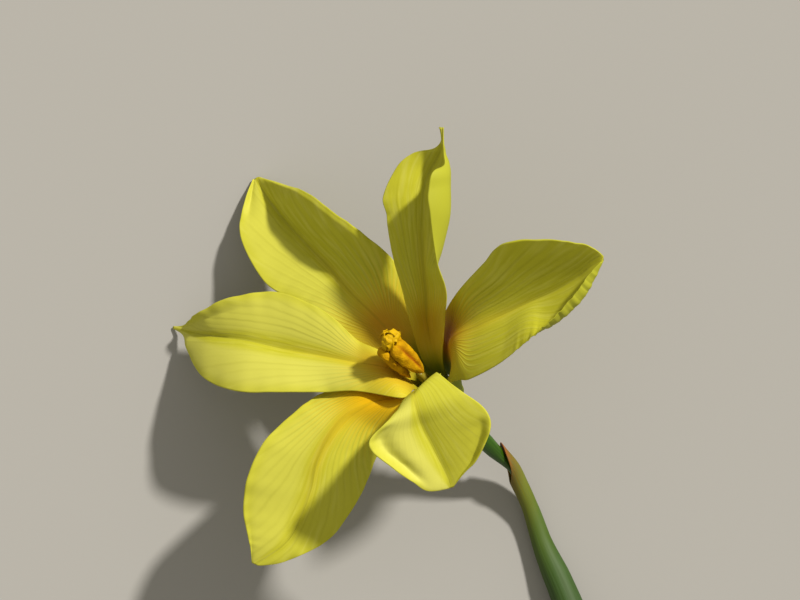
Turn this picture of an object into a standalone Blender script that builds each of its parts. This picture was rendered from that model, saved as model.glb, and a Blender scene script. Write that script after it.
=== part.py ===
"""A yellow moraea flower as picked: six free tepals on a green stem with its sheathing bracts.

The flower lies on a flat surface, on the tips of two tepals, its two bracts and the stem. All
lengths below are in millimetres and are turned to metres as each mesh is made. The flower's own
frame has its origin where the claws of the tepals meet the ovary: x to the right and y up as the
flower is seen from above, z up. FLOWER_BASE carries that frame to the part's frame, whose z is 0
on the surface.
"""

import math

import bpy
import numpy as np

MM = 0.001
FLOWER_BASE = np.array([3.8, 21.45, 12.6])

# The flower faces half up and half to one side, along this axis
AXIS = np.array([-0.506, 0.575, 0.643])
BLADE_THICKNESS = 0.6
# On a claw the rolled margin lies flat and takes this share of its half
CLAW_LIP = 0.2
ROWS = 22
COLUMNS_HALF = 5
COLUMNS_FLAP = 4
# Edges that turn more than this many degrees are drawn sharp
SHARP_EDGE = 50

# Claws: (height up the axis, radius, half angle round the axis) from the foot up. The right
# tepal's claw and the lower left one's wrap wider above the foot, behind their neighbours.
INNER_CLAW = ((0.0, 1.5, 15.0), (3.2, 1.85, 34.0), (6.4, 2.5, 42.0))
OUTER_CLAW = ((0.0, 1.55, 15.0), (3.2, 2.95, 24.0), (6.4, 3.9, 43.0))
RIGHT_CLAW = ((0.0, 1.5, 15.0), (2.0, 2.6, 25.0), (3.3, 3.2, 71.0), (6.4, 3.9, 60.0))
LOWER_CLAW = ((0.0, 1.55, 15.0), (3.2, 3.05, 37.0), (6.4, 4.1, 47.0))

# Each tepal's blade is drawn by places along it, from throat to tip. A place holds the left
# margin, the midrib and the right margin as seen on the inner face with the tip ahead, and on a
# tepal with a rolled margin the free edge of the roll as well.
UPPER_LEFT = (
    ((-12.0, 7.0, 1.8), (-9.5, 10.8, 1.6), (-5.6, 13.1, 1.8)),
    ((-17.6, 11.1, 0.4), (-13.3, 14.5, -0.2), (-7.7, 18.8, 1.2)),
    ((-20.7, 13.5, -2.2), (-16.1, 17.7, -3.0), (-12.0, 22.3, 2.8)),
    ((-25.3, 16.4, -5.0), (-19.9, 21.6, -6.0), (-16.1, 25.3, 1.2)),
    ((-28.4, 22.4, -8.2), (-22.9, 24.9, -8.8), (-20.3, 28.3, -2.7)),
    ((-27.9, 26.3, -10.8), (-25.1, 28.0, -11.0), (-22.9, 29.3, -7.8)),
    ((-26.7, 29.9, -12.4), (-26.3, 30.2, -12.4), (-25.9, 30.3, -12.2)),
)
LEFT = (
    ((-6.8, 0.8, 9.3), (-9.1, 4.8, 5.6), (-9.6, 7.0, 4.6)),
    ((-12.0, 1.6, 7.0), (-12.8, 5.5, 4.4), (-12.4, 8.3, 3.5)),
    ((-17.3, 1.5, 5.0), (-18.1, 6.5, 2.0), (-17.3, 12.4, 0.8)),
    ((-23.2, 1.5, 4.0), (-22.7, 7.3, -0.2), (-23.5, 14.8, -2.8)),
    ((-28.8, 1.6, 1.4), (-27.5, 8.4, -2.6), (-28.8, 13.9, -5.0)),
    ((-33.6, 3.7, -4.2), (-32.0, 8.9, -6.2), (-33.2, 12.0, -7.6)),
    ((-35.6, 7.2, -9.4), (-34.7, 9.3, -9.6), (-34.9, 10.9, -10.0)),
    ((-36.4, 9.2, -11.5), (-36.4, 9.7, -11.5), (-36.3, 10.2, -11.6)),
    ((-37.5, 9.8, -12.4), (-37.5, 10.0, -12.4), (-37.5, 10.2, -12.4)),
)
TOP = (
    ((-5.6, 10.8, 5.4), (-3.3, 10.8, 4.4), (-1.15, 11.2, 8.9), (-1.05, 11.2, 9.4)),
    ((-6.7, 15.3, 5.2), (-3.6, 15.1, 5.4), (-0.95, 14.8, 11.2), (-0.85, 14.8, 11.7)),
    ((-7.9, 19.6, 6.2), (-4.0, 19.7, 6.8), (-2.0, 18.8, 12.6), (-2.1, 18.9, 13.2)),
    ((-8.7, 24.9, 6.8), (-4.1, 25.1, 8.2), (-0.5, 25.1, 12.8), (-3.0, 25.1, 14.8)),
    ((-8.9, 28.3, 6.6), (-3.7, 29.1, 8.0), (-0.4, 28.7, 12.4), (-3.2, 28.1, 14.8)),
    ((-6.8, 32.0, 6.4), (-2.8, 31.3, 7.8), (-0.5, 30.9, 12.2), (-2.5, 30.7, 14.2)),
    ((-5.1, 33.2, 6.9), (-2.1, 32.4, 8.2), (-0.8, 32.1, 11.6), (-1.15, 31.4, 12.4)),
    ((-2.5, 33.8, 8.4), (-1.6, 33.6, 9.2), (-1.1, 33.3, 11.0), (-1.2, 33.0, 11.4)),
    ((-1.8, 36.5, 10.6), (-1.6, 36.5, 10.6), (-1.4, 36.5, 10.7), (-1.2, 36.5, 10.9)),
)
RIGHT = (
    ((-1.4, 10.9, 3.6), (-0.2, 8.5, 8.6), (0.6, 3.6, 9.6), (0.6, 3.1, 9.6)),
    ((0.9, 15.1, 11.0), (3.5, 10.5, 11.6), (2.4, 3.9, 12.4), (2.4, 3.4, 12.7)),
    ((3.9, 18.4, 16.6), (6.9, 12.0, 13.2), (6.1, 5.8, 16.2), (6.0, 5.4, 16.6)),
    ((6.6, 21.1, 20.6), (10.5, 13.7, 15.0), (9.9, 8.8, 18.8), (9.8, 8.5, 19.4)),
    ((11.6, 21.6, 21.8), (13.5, 15.1, 16.8), (13.5, 10.9, 20.2), (13.1, 11.4, 21.3)),
    ((16.0, 21.2, 22.4), (16.3, 16.8, 18.7), (17.0, 14.2, 20.8), (16.2, 14.9, 21.8)),
    ((18.4, 20.4, 22.2), (18.2, 18.3, 20.2), (18.6, 16.9, 20.9), (17.9, 17.3, 21.7)),
    ((19.6, 19.5, 21.1), (19.6, 19.1, 21.0), (19.5, 18.8, 21.1), (19.3, 18.7, 21.4)),
)
LOWER_LEFT = (
    ((-7.2, -0.8, 7.8), (-9.9, 0.2, 7.05), (-12.6, 2.4, 4.9)),
    ((-8.9, -4.4, 5.6), (-13.6, -1.5, 6.8), (-17.1, 1.4, 3.4)),
    ((-10.2, -7.4, 4.8), (-16.3, -4.5, 7.0), (-20.7, -1.1, 4.8)),
    ((-11.3, -10.3, 5.0), (-17.9, -7.7, 6.6), (-24.8, -4.9, 6.0)),
    ((-13.3, -14.1, 5.0), (-18.7, -11.2, 5.8), (-27.1, -9.7, 6.2)),
    ((-16.0, -17.7, 5.0), (-19.9, -14.5, 5.2), (-27.7, -13.7, 5.8)),
    ((-20.3, -20.2, 5.0), (-22.0, -18.3, 5.0), (-27.1, -17.6, 5.6)),
    ((-23.6, -21.3, 4.8), (-24.8, -20.4, 5.0), (-26.7, -19.5, 5.2)),
    ((-25.8, -21.5, 4.8), (-26.2, -21.3, 4.8), (-26.6, -21.1, 4.8)),
)
LOWER_RIGHT = (
    ((-1.4, 3.3, 11.6), (-4.7, 1.5, 12.8), (-6.6, 0.4, 12.2)),
    ((-1.5, 3.8, 15.6), (-5.1, 0.9, 17.2), (-7.0, -0.3, 16.6)),
    ((0.7, 2.1, 18.0), (-4.7, -0.7, 17.6), (-8.4, -2.0, 17.8)),
    ((3.8, -0.1, 18.6), (-4.0, -2.8, 16.6), (-10.9, -4.4, 17.8)),
    ((5.0, -2.2, 18.2), (-2.9, -5.0, 16.0), (-10.5, -6.2, 17.4)),
    ((4.4, -4.6, 17.4), (-1.9, -7.0, 15.6), (-8.2, -8.0, 16.8)),
    ((2.8, -7.6, 16.4), (-0.9, -9.0, 15.2), (-5.3, -10.1, 15.8)),
    ((1.1, -9.4, 15.6), (-0.4, -10.2, 15.0), (-2.9, -11.4, 15.2)),
    ((0.1, -10.8, 14.8), (-0.3, -10.9, 14.8), (-0.7, -11.0, 14.8)),
)
# name, angle round the axis, claw, blade, bulge of each half as a share of its width
TEPALS = (
    ("outer_tepal_upper_left", 180, OUTER_CLAW, UPPER_LEFT, 0.0),
    ("inner_tepal_left", 240, INNER_CLAW, LEFT, 0.05),
    ("inner_tepal_top", 120, INNER_CLAW, TOP, 0.04),
    ("outer_tepal_right", 66, RIGHT_CLAW, RIGHT, -0.07),
    ("outer_tepal_lower_left", 297, LOWER_CLAW, LOWER_LEFT, 0.06),
    ("inner_tepal_lower_right", 354, INNER_CLAW, LOWER_RIGHT, 0.02),
)

# Centre line of ovary, pedicel, bracts and stem, and how far along each piece runs
STALK = (
    (0.0, 0.0, 0.0), (2.0, -2.3, -2.6), (4.2, -4.9, -5.1), (6.2, -7.0, -7.1),
    (8.3, -9.3, -9.0), (9.2, -11.1, -9.9), (10.4, -13.7, -10.8), (12.5, -19.7, -11.35),
    (14.4, -24.0, -10.95), (17.0, -30.5, -10.3), (19.6, -37.5, -9.9), (22.2, -45.5, -9.9),
    (24.6, -54.0, -10.4), (26.6, -63.0, -11.35), (28.0, -72.0, -11.35), (28.8, -79.5, -11.35),
)
SIDES = 16
OVARY_START = 0.4
PEDICEL_END = 24.0
PEDICEL_RINGS = 20
# Distances along the stalk and the radius there, ovary first and pedicel after it
OVARY_RADII = (
    (0.4, 1.7), (1.5, 1.25), (5, 1.15), (9, 1.12), (11, 1.0), (13, 0.72), (15, 0.48), (24, 0.45),
)
STEM_START = 66.5
STEM_END = 88.5
STEM_RADIUS = 1.4
STEM_RINGS = 12

# Bracts: where each starts and ends along the stalk, how far its mouth slants, the side of its
# tip in degrees, outer radii from mouth to end, radii of the bore from mouth to floor, bore
# depth, and how many rings its outer wall has
INNER_SPATHE = (
    10.8, 65.4, 6.0, 180.0,
    (1.45, 1.15, 1.1, 1.35, 1.8, 2.0, 2.0, 1.9, 1.75, 1.6, 1.4, 1.2),
    (1.3, 0.8, 0.8, 0.8), 14.2, 28,
)
OUTER_SPATHE = (
    36.0, 66.2, 9.0, 20.0,
    (2.75, 2.75, 2.7, 2.55, 2.3, 2.0, 1.6),
    (2.3, 2.3, 2.3, 2.15, 1.95, 1.6), 29.7, 16,
)
BORE_RINGS = 7
RIM = 0.3
# The stalk's curve is read at this many places to lay a bract round it
PATH_PLACES = 200

# The column of stamens and style leans this much to one side for each millimetre of its height
LEAN = 0.085
# Profiles along the column: height above the flower's base, radius, depth of the lobes cut in
# it, and how far the centre sways back against the lean
FILAMENTS = ((0.3, 0.7, 0, 0), (2.0, 0.75, 0, 0), (5.0, 0.7, 0, 0), (7.0, 0.6, 0, 0), (7.8, 0.4, 0, 0))
ANTHER = (
    (8.4, 0.25, 0, 0), (9.1, 0.6, 0, 0), (10.3, 1.0, 0, 0), (11.8, 1.2, 0, 0),
    (13.6, 1.15, 0, 0), (14.6, 0.9, 0, 0), (15.0, 0.45, 0, 0),
)
STYLE = (
    (8.1, 0.22, 0, 0), (9.0, 0.27, 0, 0), (14.8, 0.27, 0, 0.1), (15.3, 0.45, 0.1, 0.5),
    (15.6, 1.1, 0.3, 0.8), (16.1, 1.25, 0.4, 0.9), (16.8, 1.05, 0.45, 0.9), (16.4, 0.3, 0, 0.9),
)
ANTHER_ANGLES = (30, 150, 270)
ANTHER_OFFSET = 1.17
ANTHER_SQUASH = 0.62
STYLE_LOBES = 6


def unit(vectors):
    return vectors / np.linalg.norm(vectors, axis=-1, keepdims=True)


AXIS = unit(AXIS)
FRONT = unit(np.array([0.0, 0.0, 1.0]) - AXIS[2] * AXIS)
SIDE = np.cross(AXIS, FRONT)


def ring_point(angle, height, radius):
    """The point at this angle and radius round the flower's axis, this high above its base."""
    turn = math.radians(angle)
    return AXIS * height + radius * (math.cos(turn) * FRONT + math.sin(turn) * SIDE)


def through(knots, values, at):
    """A smooth curve through values at knots, read at the places in at: cubic pieces whose
    slope at each knot is that of the parabola through it and its two neighbours."""
    values = np.asarray(values, float)
    steps = np.diff(knots).reshape((-1,) + (1,) * (values.ndim - 1))
    slopes = np.diff(values, axis=0) / steps
    inner = (slopes[:-1] * steps[1:] + slopes[1:] * steps[:-1]) / (steps[:-1] + steps[1:])
    ends = 2 * slopes[:1] - inner[:1], 2 * slopes[-1:] - inner[-1:]
    tangents = np.concatenate([ends[0], inner, ends[1]])
    index = np.clip(np.searchsorted(knots, at, side="right") - 1, 0, len(knots) - 2)
    h = steps[index]
    t = ((at - knots[index]) / np.diff(knots)[index]).reshape(h.shape)
    return (
        (2 * t**3 - 3 * t**2 + 1) * values[index]
        + (t**3 - 2 * t**2 + t) * h * tangents[index]
        + (3 * t**2 - 2 * t**3) * values[index + 1]
        + (t**3 - t**2) * h * tangents[index + 1]
    )


def lengths_along(points):
    """How far along the line through points each of them lies, from 0."""
    return np.concatenate([[0.0], np.cumsum(np.linalg.norm(np.diff(points, axis=0), axis=1))])


def tepal_rails(angle, claw, blade):
    """The lines that run from base to tip along the tepal, as an array of places, rails, xyz."""
    flapped = len(blade[0]) == 4
    places = []
    for height, radius, spread in claw:
        turns = [angle + spread, angle, angle - spread]
        if flapped:
            turns.insert(2, angle - spread * (1 - CLAW_LIP))
        places.append([ring_point(turn, height, radius) for turn in turns])
    return np.array(places + [list(map(np.array, place)) for place in blade])


def tepal_grid(angle, claw, blade, bulge):
    """The tepal's middle surface: rows from base to tip, columns from left to right margin.

    Each half of a row runs from the midrib to its margin and bulges towards the inner face by
    bulge times its width. A rolled margin turns on through its fold to its free edge."""
    rails = tepal_rails(angle, claw, blade)
    knots = lengths_along(rails[:, 1])
    at = np.linspace(0.0, knots[-1], ROWS)
    rows = through(knots, rails, at)
    left, midrib, right = rows[:, 0], rows[:, 1], rows[:, 2]
    ahead = unit(np.gradient(midrib, axis=0))
    facing = unit(np.cross(ahead, left - right))
    share = np.linspace(0.0, 1.0, COLUMNS_HALF + 1)[:, None]

    def half(edge):
        width = np.linalg.norm(edge - midrib, axis=1)[:, None, None]
        straight = midrib[:, None] + (edge - midrib)[:, None] * share
        return straight + facing[:, None] * width * bulge * 4 * share * (1 - share)

    left_half = half(left)[:, :0:-1]
    right_half = half(right)
    if rows.shape[1] == 4:
        free = rows[:, 3]
        folded = []
        steps = np.concatenate(
            [np.linspace(0, 1, COLUMNS_HALF + 1)[:-1], np.linspace(1, 2, COLUMNS_FLAP + 1)]
        )
        for start, fold, end in zip(midrib, right, free):
            marks = lengths_along(np.array([start, fold, end]))
            places = np.interp(steps, [0, 1, 2], marks)
            folded.append(through(marks, [start, fold, end], places))
        right_half = np.array(folded)
    return np.concatenate([left_half, right_half], axis=1)


def sheet_solid(grid, thickness):
    """A sheet of even thickness about the grid's surface, both faces split into triangles alike."""
    down = np.gradient(grid, axis=0)
    across = np.gradient(grid, axis=1)
    normal = unit(np.cross(across, down)) * (thickness / 2)
    rows, columns = grid.shape[:2]
    points = np.concatenate([(grid + normal).reshape(-1, 3), (grid - normal).reshape(-1, 3)])
    index = np.arange(rows * columns).reshape(rows, columns)
    a, b = index[:-1, :-1].ravel(), index[:-1, 1:].ravel()
    c, d = index[1:, 1:].ravel(), index[1:, :-1].ravel()
    upper = np.concatenate([np.stack([a, b, c], 1), np.stack([a, c, d], 1)])
    under = upper[:, ::-1] + rows * columns
    rim = np.concatenate([index[0, :-1], index[:-1, -1], index[-1, :0:-1], index[:0:-1, 0]])
    after = np.roll(rim, -1)
    below = rows * columns
    wall = np.concatenate(
        [np.stack([rim, rim + below, after + below], 1), np.stack([rim, after + below, after], 1)]
    )
    return points, np.concatenate([upper, under, wall])


def frames_along(points):
    """For each point of a path, its direction and two directions across it that twist least."""
    ahead = unit(np.gradient(points, axis=0))
    across = [unit(np.cross(ahead[0], np.array([0.0, 0.0, 1.0])))]
    for direction in ahead[1:]:
        across.append(unit(across[-1] - np.dot(across[-1], direction) * direction))
    across = np.array(across)
    return ahead, across, np.cross(ahead, across)


def ring_faces(rings, sides):
    """Triangles between rings of points round a path, and over the centres of its two ends.
    The points are the rings in order, then the first end's centre and the last one's."""
    ring, side = np.meshgrid(np.arange(rings - 1), np.arange(sides), indexing="ij")
    a, b = ring * sides + side, ring * sides + (side + 1) % sides
    c, d = b + sides, a + sides
    walls = [np.stack([a, b, c], -1).reshape(-1, 3), np.stack([a, c, d], -1).reshape(-1, 3)]
    turn = np.arange(sides)
    following = (turn + 1) % sides
    first, last = rings * sides, rings * sides + 1
    top = (rings - 1) * sides
    ends = [
        np.stack([following, turn, np.full(sides, first)], 1),
        np.stack([turn + top, following + top, np.full(sides, last)], 1),
    ]
    return np.concatenate(walls + ends)


def tube_solid(path, radii, sides=SIDES):
    """A round solid along path, with a radius for each of its points and flat ends."""
    ahead, across, upward = frames_along(path)
    turn = np.linspace(0, 2 * math.pi, sides, endpoint=False)
    spokes = np.cos(turn)[:, None] * across[:, None] + np.sin(turn)[:, None] * upward[:, None]
    rings = path[:, None] + spokes * np.asarray(radii)[:, None, None]
    points = np.concatenate([rings.reshape(-1, 3), path[:1], path[-1:]])
    return points, ring_faces(len(path), sides)


def stalk_at(marks):
    """The points of the stalk's centre line at these distances from the flower's base."""
    line = np.array(STALK)
    return through(lengths_along(line), line, marks)


def sheath_solid(start, end, mouth_slant, tip_side, radii, bores, bore_length, outer_rings):
    """A leaf rolled into a sheath round the stalk, open at its mouth and solid below the bore.

    The mouth slants back from its tip by mouth_slant on the side away from tip_side. The bore's
    wall runs up from its floor to the mouth, and the outer wall runs back down to the end."""
    turn = np.linspace(0, 2 * math.pi, SIDES, endpoint=False)
    slant = mouth_slant * (1 - np.cos(turn - math.radians(tip_side))) / 2
    marks = np.linspace(start, end, PATH_PLACES)
    path = stalk_at(marks)
    _, across, upward = frames_along(path)
    radius_marks = start + (end - start) * np.linspace(0, 1, len(radii))

    def ring_at(places, radius):
        centre = np.stack([np.interp(places, marks, path[:, k]) for k in range(3)], 1)
        side = np.stack([np.interp(places, marks, across[:, k]) for k in range(3)], 1)
        up = np.stack([np.interp(places, marks, upward[:, k]) for k in range(3)], 1)
        return centre + radius[:, None] * (np.cos(turn)[:, None] * side + np.sin(turn)[:, None] * up)

    rings = []
    bore_marks = start + bore_length * np.linspace(0, 1, len(bores))
    for share_in in np.linspace(1, 0, BORE_RINGS):
        places = start + slant + RIM + (bore_length - slant - RIM) * share_in
        rings.append(ring_at(places, np.interp(places, bore_marks, bores)))
    for share_down in np.linspace(0, 1, outer_rings):
        places = start + slant * (1 - share_down) + (end - start) * share_down
        rings.append(ring_at(places, np.interp(places, radius_marks, radii)))
    floor_centre = np.array([np.interp(start + bore_length, marks, path[:, k]) for k in range(3)])
    points = np.concatenate([np.concatenate(rings), floor_centre[None], path[-1:]])
    return points, ring_faces(len(rings), SIDES)


def turned_solid(angle, offset, profile, squash=1.0, lobes=0, sides=12):
    """A solid turned about a line beside the column's centre, at this angle and offset from it.

    profile holds heights, radii, how deep the lobes cut the outline there as a share of the
    radius, and sways. squash flattens the solid towards the column's centre."""
    turn = np.linspace(0, 2 * math.pi, sides, endpoint=False)
    out = ring_point(angle, 0, 1)
    spokes = squash * np.cos(turn)[:, None] * out + np.sin(turn)[:, None] * np.cross(AXIS, out)
    height, radius, depth, sway = np.array(profile).T[:, :, None]
    centres = AXIS * height + SIDE * (sway - LEAN * height) + out * offset
    ripple = 1 - depth * (1 - np.cos(lobes * turn)) / 2
    rings = centres[:, None] + (radius * ripple)[:, :, None] * spokes
    points = np.concatenate([rings.reshape(-1, 3), centres[[0, -1]]])
    return points, ring_faces(len(profile), sides)


def coloured(name, red, green, blue, roughness):
    material = bpy.data.materials.new(name)
    material.use_nodes = True
    shader = material.node_tree.nodes["Principled BSDF"]
    shader.inputs["Base Color"].default_value = (red, green, blue, 1.0)
    shader.inputs["Roughness"].default_value = roughness
    shader.inputs["Metallic"].default_value = 0.0
    return material


def add_part(name, points, faces, material):
    """One closed solid. Whatever would pass below the surface it rests on is pressed flat there."""
    points = points + FLOWER_BASE
    points[:, 2] = np.maximum(points[:, 2], 0.0)
    mesh = bpy.data.meshes.new(name)
    mesh.from_pydata((points * MM).tolist(), [], faces.tolist())
    mesh.materials.append(material)
    mesh.validate()
    mesh.shade_smooth()
    mesh.set_sharp_from_angle(angle=math.radians(SHARP_EDGE))
    made = bpy.data.objects.new(name, mesh)
    bpy.context.scene.collection.objects.link(made)
    return made


def add_tepals():
    petal = coloured("tepal_yellow", 0.72, 0.70, 0.06, 0.55)
    for name, angle, claw, blade, bulge in TEPALS:
        points, faces = sheet_solid(tepal_grid(angle, claw, blade, bulge), BLADE_THICKNESS)
        add_part(name, points, faces, petal)


def add_centre():
    """The filaments joined in a column, three anthers round the style, and the style's crests."""
    olive = coloured("filament_olive", 0.75, 0.62, 0.10, 0.6)
    orange = coloured("anther_orange", 0.80, 0.40, 0.01, 0.8)
    add_part("filament_column", *turned_solid(0, 0, FILAMENTS), olive)
    for number, angle in enumerate(ANTHER_ANGLES, start=1):
        solid = turned_solid(angle, ANTHER_OFFSET, ANTHER, squash=ANTHER_SQUASH)
        add_part(f"anther_{number}", *solid, orange)
    style = turned_solid(0, 0, STYLE, lobes=STYLE_LOBES, sides=4 * STYLE_LOBES)
    add_part("style_branches", *style, orange)


def add_stalk():
    """The ovary on its pedicel, the two bracts that sheathe it, and the stem below them."""
    green = coloured("ovary_green", 0.12, 0.30, 0.03, 0.4)
    sheath = coloured("bract_green", 0.20, 0.33, 0.12, 0.6)
    marks = np.linspace(OVARY_START, PEDICEL_END, PEDICEL_RINGS)
    places, radii = np.array(OVARY_RADII).T
    add_part("ovary_and_pedicel", *tube_solid(stalk_at(marks), np.interp(marks, places, radii)), green)
    add_part("inner_spathe", *sheath_solid(*INNER_SPATHE), sheath)
    add_part("outer_spathe", *sheath_solid(*OUTER_SPATHE), sheath)
    marks = np.linspace(STEM_START, STEM_END, STEM_RINGS)
    add_part("stem", *tube_solid(stalk_at(marks), np.full(STEM_RINGS, STEM_RADIUS)), sheath)


def main():
    for existing in list(bpy.data.objects):
        bpy.data.objects.remove(existing)
    bpy.context.scene.unit_settings.scale_length = 1.0
    add_tepals()
    add_centre()
    add_stalk()


main()
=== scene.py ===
"""A yellow moraea flower, picked and laid on a pale table, seen from straight above.

Lengths in the tables below are millimetres in the flower's own frame, whose origin is where the
tepals meet the ovary: x to the right, y up the picture, z up from the table.
"""

import math

import bpy
import numpy as np
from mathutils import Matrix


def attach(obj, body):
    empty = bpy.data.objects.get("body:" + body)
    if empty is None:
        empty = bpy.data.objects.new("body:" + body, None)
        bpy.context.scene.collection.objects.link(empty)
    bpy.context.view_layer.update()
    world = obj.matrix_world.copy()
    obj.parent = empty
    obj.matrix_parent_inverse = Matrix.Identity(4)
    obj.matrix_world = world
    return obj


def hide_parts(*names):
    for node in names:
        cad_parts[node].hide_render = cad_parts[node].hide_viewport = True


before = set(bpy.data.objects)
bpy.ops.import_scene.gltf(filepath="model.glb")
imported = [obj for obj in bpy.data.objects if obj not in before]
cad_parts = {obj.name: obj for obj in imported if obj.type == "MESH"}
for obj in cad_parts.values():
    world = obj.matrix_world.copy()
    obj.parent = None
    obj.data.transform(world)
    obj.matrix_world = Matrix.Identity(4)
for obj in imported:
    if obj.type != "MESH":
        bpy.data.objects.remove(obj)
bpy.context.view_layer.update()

# The table and the light: a wide matt pale table top in a pale room, whose tone it matches where
# the two meet, with one soft far lamp to the upper right, low enough for the flower's parts to
# shade each other.
MM = 0.001
FLOWER_BASE = np.array([3.8, 21.45, 12.6])
CAMERA_OVER = np.array([-6.93, 13.73, 1000.0])
CAMERA_LENS = 337.5
LAMP_TOWARDS = np.array([0.54, 0.60, 0.66])
LAMP_SOFTNESS = 0.077
LAMP_ENERGY = 5.0
ROOM_LIGHT = 0.54
# In metres: half the table top's side, and how far it lies under the surface the flower rests on
TABLE_HALF = 6.0
TABLE_DROP = 0.00004


def linear(code):
    """A hex colour as seen on a screen, turned to linear light with full alpha."""
    parts = np.array([int(code[k:k + 2], 16) for k in (0, 2, 4)]) / 255
    bright = np.where(parts <= 0.04045, parts / 12.92, ((parts + 0.055) / 1.055) ** 2.4)
    return (*bright.tolist(), 1.0)


def new_surface(name, roughness, specular):
    """A material with its shader's gloss set, its node tree and that shader."""
    material = bpy.data.materials.new(name)
    material.use_nodes = True
    shader = material.node_tree.nodes["Principled BSDF"]
    shader.inputs["Roughness"].default_value = roughness
    shader.inputs["Specular IOR Level"].default_value = specular
    return material, material.node_tree, shader


def place(thing):
    """Puts the object in the scene."""
    bpy.context.scene.collection.objects.link(thing)
    return thing


bpy.context.scene.view_settings.view_transform = "Standard"

room = bpy.data.worlds.new("pale_room")
room.use_nodes = True
sky = room.node_tree.nodes["Background"]
sky.inputs["Color"].default_value = linear("F4EEDE")
sky.inputs["Strength"].default_value = ROOM_LIGHT
bpy.context.scene.world = room

# Matt painted board: an even pale grey with no gloss at all, so that its far edge goes unseen
table_top, _, board = new_surface("matt_painted_board", 1.0, 0.0)
board.inputs["Base Color"].default_value = linear("9C9B99")

table_mesh = bpy.data.meshes.new("table")
square = np.array([(-1, -1), (1, -1), (1, 1), (-1, 1)]) * TABLE_HALF
table_mesh.from_pydata([(x, y, -TABLE_DROP) for x, y in square.tolist()], [], [(0, 1, 2, 3)])
table_mesh.materials.append(table_top)
table = place(bpy.data.objects.new("table", table_mesh))

lamp_data = bpy.data.lights.new("soft_lamp", "SUN")
lamp_data.angle = LAMP_SOFTNESS
lamp_data.energy = LAMP_ENERGY
lamp_data.color = linear("FFF9EE")[:3]
lamp = place(bpy.data.objects.new("soft_lamp", lamp_data))
lamp.location = LAMP_TOWARDS
lamp.rotation_euler = lamp.location.to_track_quat("Z", "Y").to_euler()

camera_data = bpy.data.cameras.new("camera")
camera_data.sensor_width = 36.0
camera_data.lens = CAMERA_LENS
camera_data.clip_end = 20.0
camera = place(bpy.data.objects.new("camera", camera_data))
camera.location = (FLOWER_BASE + CAMERA_OVER) * MM
bpy.context.scene.camera = camera


# The six tepals: thin, silky, free petals. Each has a narrow claw that stands round the column
# and a wide limb that spreads, creased along its middle, with fine veins that fan to its margins.
TEPAL_THICKNESS = 0.26
MARGIN_THICKNESS = 0.14
# How finely a tepal is divided along its length, over each half and over a roll
ROWS = 190
HALF_COLUMNS = 42
ROLL_COLUMNS = 26
# Veins: how many steps of the slope, the fan's width at the throat and its growth, their height
VEINS = 15
FAN_WIDTH = 2.6
FAN_SPREAD = 0.5
VEIN_RELIEF = 0.008
RIB_WIDTH = 0.13
CREASE_WIDTH = 0.8
# How far the veins stray, in steps from one vein to the next, and how much light a petal lets by
VEIN_WANDER = 0.6
PETAL_LETS_BY = 0.3
# How much each millimetre moves the fine streaks on along a petal or a stalk
RUN_PER_MM = 0.12
# Claws: (height up the axis, radius, half angle round the axis) from the foot up. On a claw the
# rolled margin lies flat and takes the share CLAW_LIP of its half.
INNER_CLAW = ((0.0, 1.5, 15.0), (3.2, 1.85, 34.0), (6.4, 2.5, 42.0))
OUTER_CLAW = ((0.0, 1.55, 15.0), (3.2, 2.95, 24.0), (6.4, 3.9, 43.0))
RIGHT_CLAW = ((0.0, 1.5, 15.0), (2.0, 2.6, 30.0), (3.3, 3.2, 78.0), (6.4, 3.9, 64.0))
LOWER_CLAW = ((0.0, 1.55, 15.0), (3.2, 3.05, 40.0), (6.4, 4.1, 50.0))
CLAW_LIP = 0.2
# The lowest that a piece may reach, in metres
LOWEST = 0.00001

# Places along each limb from throat to tip: left margin, midrib, right margin seen with the tip
# ahead, and the free edge of the roll where the right margin is rolled over
UPPER_LEFT = (
    ((-12.0, 7.0, 1.8), (-9.5, 10.8, 1.6), (-5.6, 13.1, 1.8)),
    ((-17.6, 11.1, 0.4), (-13.3, 14.5, -0.2), (-7.7, 18.8, 1.2)),
    ((-20.7, 13.5, -2.2), (-16.1, 17.7, -3.0), (-12.0, 22.3, 2.8)),
    ((-25.3, 16.4, -5.0), (-19.9, 21.6, -6.0), (-16.1, 25.3, 1.2)),
    ((-28.4, 22.4, -8.2), (-22.9, 24.9, -8.8), (-20.3, 28.3, -2.7)),
    ((-27.9, 26.3, -10.8), (-25.1, 28.0, -11.0), (-22.9, 29.3, -7.8)),
    ((-26.7, 29.9, -12.4), (-26.3, 30.2, -12.4), (-25.9, 30.3, -12.2)),
)
LEFT = (
    ((-6.8, 0.8, 9.3), (-9.1, 4.8, 5.6), (-9.6, 7.0, 4.6)),
    ((-12.0, 1.6, 7.0), (-12.8, 5.5, 4.4), (-12.4, 8.3, 3.5)),
    ((-17.3, 1.5, 5.0), (-18.1, 6.5, 2.0), (-17.3, 12.4, 0.8)),
    ((-23.2, 1.5, 4.0), (-22.7, 7.3, -0.2), (-23.5, 14.8, -2.8)),
    ((-28.8, 1.6, 1.4), (-27.5, 8.4, -2.6), (-28.8, 13.9, -5.0)),
    ((-33.6, 3.7, -4.2), (-32.0, 8.9, -6.2), (-33.2, 12.0, -7.6)),
    ((-35.6, 7.2, -9.4), (-34.7, 9.3, -9.6), (-34.9, 10.9, -10.0)),
    ((-36.4, 9.2, -11.5), (-36.4, 9.7, -11.5), (-36.3, 10.2, -11.6)),
    ((-37.5, 9.8, -12.4), (-37.5, 10.0, -12.4), (-37.5, 10.2, -12.4)),
)
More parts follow.
